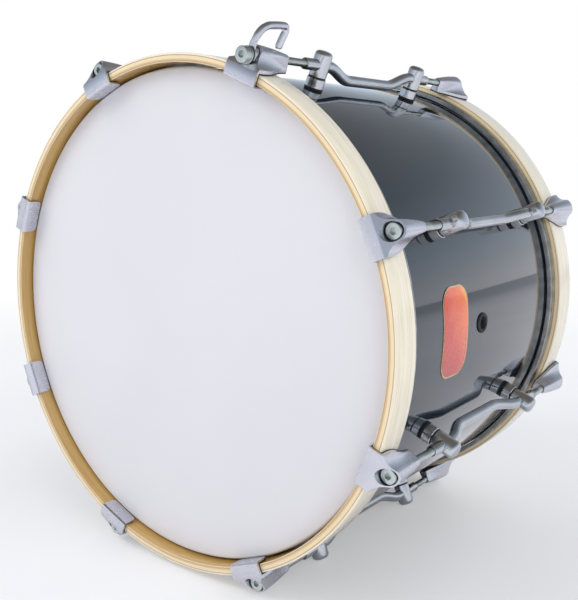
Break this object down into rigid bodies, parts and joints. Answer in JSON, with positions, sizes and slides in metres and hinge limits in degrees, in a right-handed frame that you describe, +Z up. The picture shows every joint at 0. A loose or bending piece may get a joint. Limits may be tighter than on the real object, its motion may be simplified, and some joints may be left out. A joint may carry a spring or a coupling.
{
  "type": "tenor drum",
  "caption": "Cylindrical tenor drum with a gloss shell, two heads held by wooden hoops, claw hooks and tube lugs, and a carrying hook on one rod.",
  "frame": {"origin": "middle of the base, under the four lowest lug post caps that the drum lies on", "axes": "+Z up, Y along the drum's axis with the front head and the carrying hook facing -Y, +X to the right seen from the front"},
  "size_m": [0.4362, 0.3398, 0.4495],
  "materials": {
    "shell_lacquer": "gloss black lacquer over a plywood tube",
    "head_film": "white coated polyester film",
    "hoop_maple": "clear gloss lacquer over pale laminated maple",
    "flesh_hoop_alloy": "mill finish",
    "claw_nickel": "satin nickel plate",
    "chrome": "bright plate",
    "rod_steel": "zinc plate",
    "black_rubber": "matte"
  },
  "bodies": {
    "drum": {"shell": "shell_lacquer", "vent_grommet": "black_rubber", "front_head": "head_film", "rear_head": "head_film", "front_flesh_hoop": "flesh_hoop_alloy", "rear_flesh_hoop": "flesh_hoop_alloy", "front_hoop": "hoop_maple", "rear_hoop": "hoop_maple", "front_claw_1": "claw_nickel", "front_claw_2": "claw_nickel", "front_claw_3": "claw_nickel", "front_claw_4": "claw_nickel", "front_claw_5": "claw_nickel", "front_claw_6": "claw_nickel", "front_claw_7": "claw_nickel", "front_claw_8": "claw_nickel", "rear_claw_1": "claw_nickel", "rear_claw_2": "claw_nickel", "rear_claw_3": "claw_nickel", "rear_claw_4": "claw_nickel", "rear_claw_5": "claw_nickel", "rear_claw_6": "claw_nickel", "rear_claw_7": "claw_nickel", "rear_claw_8": "claw_nickel", "lug_1": "chrome", "lug_2": "chrome", "lug_3": "chrome", "lug_4": "chrome", "lug_5": "chrome", "lug_6": "chrome", "lug_7": "chrome", "lug_8": "chrome"},
    "front_tension_rod_1": {"front_tension_rod_1": "rod_steel"},
    "front_tension_rod_2": {"front_tension_rod_2": "rod_steel"},
    "front_tension_rod_3": {"front_tension_rod_3": "rod_steel"},
    "front_tension_rod_4": {"front_tension_rod_4": "rod_steel"},
    "front_tension_rod_5": {"front_tension_rod_5": "rod_steel"},
    "front_tension_rod_6": {"front_tension_rod_6": "rod_steel"},
    "front_tension_rod_7": {"front_tension_rod_7": "rod_steel"},
    "front_tension_rod_8": {"front_tension_rod_8": "rod_steel"},
    "rear_tension_rod_1": {"rear_tension_rod_1": "rod_steel"},
    "rear_tension_rod_2": {"rear_tension_rod_2": "rod_steel"},
    "rear_tension_rod_3": {"rear_tension_rod_3": "rod_steel"},
    "rear_tension_rod_4": {"rear_tension_rod_4": "rod_steel"},
    "rear_tension_rod_5": {"rear_tension_rod_5": "rod_steel"},
    "rear_tension_rod_6": {"rear_tension_rod_6": "rod_steel"},
    "rear_tension_rod_7": {"rear_tension_rod_7": "rod_steel"},
    "rear_tension_rod_8": {"rear_tension_rod_8": "rod_steel"},
    "carry_hook": {"carry_hook": "claw_nickel", "hook_washer": "black_rubber"}
  },
  "joints": [
    {"name": "front_tension_rod_1_turn", "type": "hinge", "parent": "drum", "child": "front_tension_rod_1", "pos_m": [0.20575, -0.16205, 0.30328], "axis": [0, -1, 0], "continuous": true},
    {"name": "front_tension_rod_2_turn", "type": "hinge", "parent": "drum", "child": "front_tension_rod_2", "pos_m": [0.08522, -0.16205, 0.42381], "axis": [0, -1, 0], "continuous": true},
    {"name": "front_tension_rod_3_turn", "type": "hinge", "parent": "drum", "child": "front_tension_rod_3", "pos_m": [-0.08522, -0.16205, 0.42381], "axis": [0, -1, 0], "continuous": true},
    {"name": "front_tension_rod_4_turn", "type": "hinge", "parent": "drum", "child": "front_tension_rod_4", "pos_m": [-0.20575, -0.16205, 0.30328], "axis": [0, -1, 0], "continuous": true},
    {"name": "front_tension_rod_5_turn", "type": "hinge", "parent": "drum", "child": "front_tension_rod_5", "pos_m": [-0.20575, -0.16205, 0.13284], "axis": [0, -1, 0], "continuous": true},
    {"name": "front_tension_rod_6_turn", "type": "hinge", "parent": "drum", "child": "front_tension_rod_6", "pos_m": [-0.08522, -0.16205, 0.01231], "axis": [0, -1, 0], "continuous": true},
    {"name": "front_tension_rod_7_turn", "type": "hinge", "parent": "drum", "child": "front_tension_rod_7", "pos_m": [0.08522, -0.16205, 0.01231], "axis": [0, -1, 0], "continuous": true},
    {"name": "front_tension_rod_8_turn", "type": "hinge", "parent": "drum", "child": "front_tension_rod_8", "pos_m": [0.20575, -0.16205, 0.13284], "axis": [0, -1, 0], "continuous": true},
    {"name": "rear_tension_rod_1_turn", "type": "hinge", "parent": "drum", "child": "rear_tension_rod_1", "pos_m": [0.20575, 0.16675, 0.30328], "axis": [0, 1, 0], "continuous": true},
    {"name": "rear_tension_rod_2_turn", "type": "hinge", "parent": "drum", "child": "rear_tension_rod_2", "pos_m": [0.08522, 0.16675, 0.42381], "axis": [0, 1, 0], "continuous": true},
    {"name": "rear_tension_rod_3_turn", "type": "hinge", "parent": "drum", "child": "rear_tension_rod_3", "pos_m": [-0.08522, 0.16675, 0.42381], "axis": [0, 1, 0], "continuous": true},
    {"name": "rear_tension_rod_4_turn", "type": "hinge", "parent": "drum", "child": "rear_tension_rod_4", "pos_m": [-0.20575, 0.16675, 0.30328], "axis": [0, 1, 0], "continuous": true},
    {"name": "rear_tension_rod_5_turn", "type": "hinge", "parent": "drum", "child": "rear_tension_rod_5", "pos_m": [-0.20575, 0.16675, 0.13284], "axis": [0, 1, 0], "continuous": true},
    {"name": "rear_tension_rod_6_turn", "type": "hinge", "parent": "drum", "child": "rear_tension_rod_6", "pos_m": [-0.08522, 0.16675, 0.01231], "axis": [0, 1, 0], "continuous": true},
    {"name": "rear_tension_rod_7_turn", "type": "hinge", "parent": "drum", "child": "rear_tension_rod_7", "pos_m": [0.08522, 0.16675, 0.01231], "axis": [0, 1, 0], "continuous": true},
    {"name": "rear_tension_rod_8_turn", "type": "hinge", "parent": "drum", "child": "rear_tension_rod_8", "pos_m": [0.20575, 0.16675, 0.13284], "axis": [0, 1, 0], "continuous": true},
    {"name": "carry_hook_swivel", "type": "hinge", "parent": "drum", "child": "carry_hook", "pos_m": [0.08522, -0.16205, 0.42381], "axis": [0, -1, 0], "range_deg": [-20, 20]}
  ]
}
